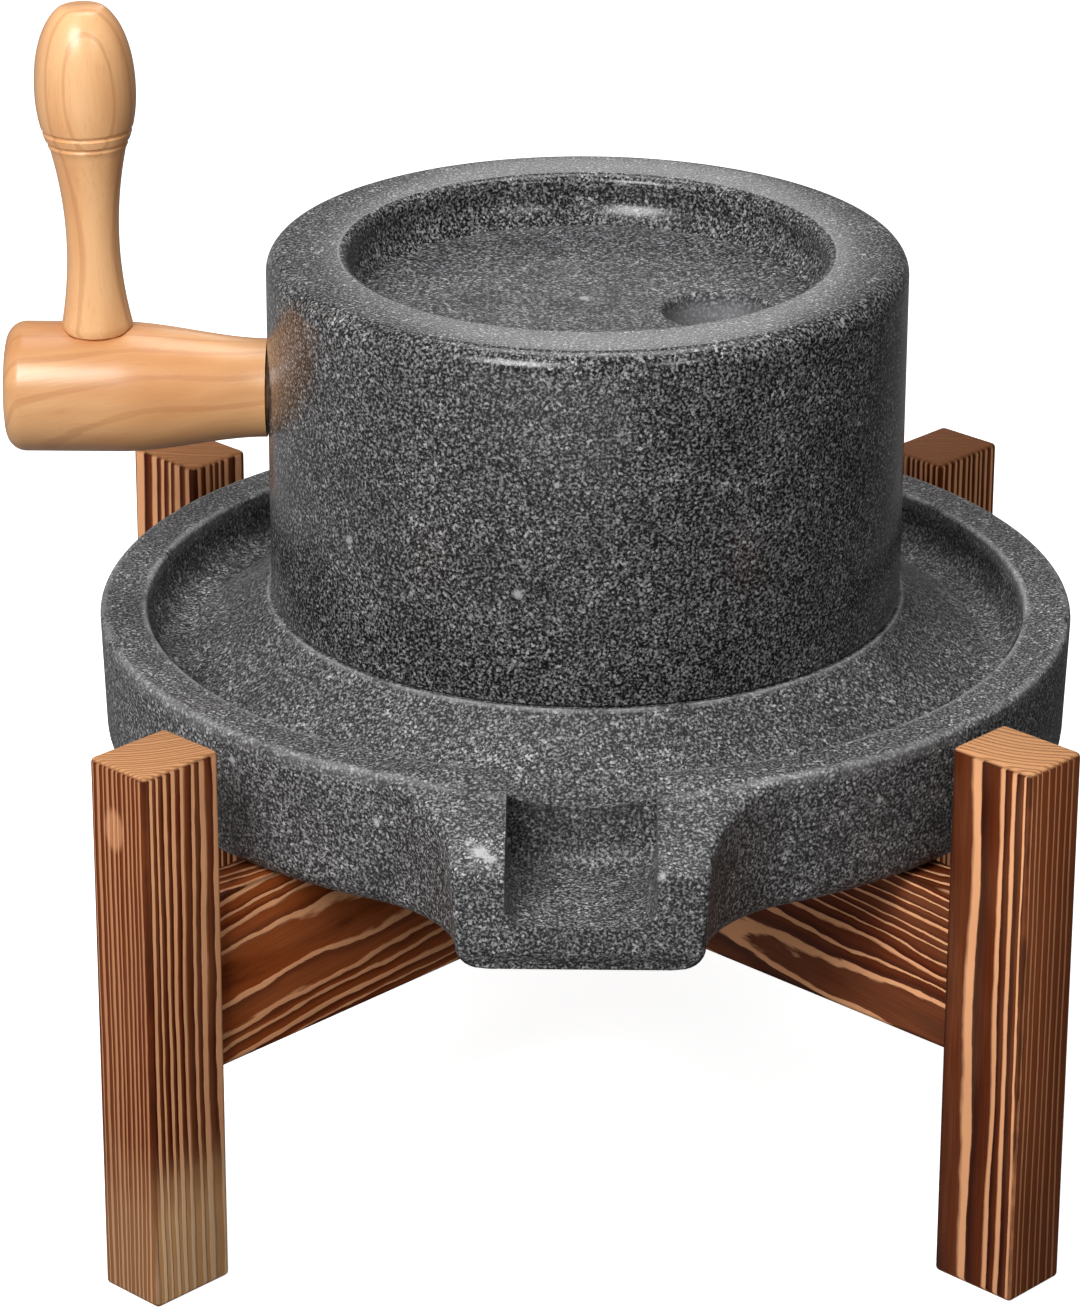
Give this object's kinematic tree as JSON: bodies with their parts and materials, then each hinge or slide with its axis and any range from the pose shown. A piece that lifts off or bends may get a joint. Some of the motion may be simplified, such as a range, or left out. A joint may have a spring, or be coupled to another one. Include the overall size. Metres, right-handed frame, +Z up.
{
  "type": "rotary quern",
  "caption": "Household rotary quern: a granite runner turned by a wooden crank on a granite bed stone with catch trough and spout, on a four-legged wooden stand.",
  "frame": {"origin": "middle of the whole mill's footprint, at floor level", "axes": "+Z up along the mill axis; -Y the way the spout points; -X the way the crank points at rest"},
  "size_m": [0.4374, 0.436, 0.4724],
  "materials": {
    "runner_granite": "polished dark granite with fine white speckle",
    "bed_granite": "honed dark granite with fine white speckle",
    "turned_wood": "pale close-grained wood, satin varnish",
    "charred_wood": "scorched and brushed softwood with strong pale grain"
  },
  "bodies": {
    "base": {"bed_stone": "bed_granite", "leg_front_left": "charred_wood", "leg_front_right": "charred_wood", "leg_back_left": "charred_wood", "leg_back_right": "charred_wood", "brace_front_left": "charred_wood", "brace_front_right": "charred_wood"},
    "runner": {"runner_stone": "runner_granite", "crank_arm": "turned_wood", "grip": "turned_wood"}
  },
  "joints": [
    {"name": "runner_turn", "type": "hinge", "parent": "base", "child": "runner", "pos_m": [0.0187, 0.018, 0.2275], "axis": [0, 0, 1], "continuous": true}
  ]
}
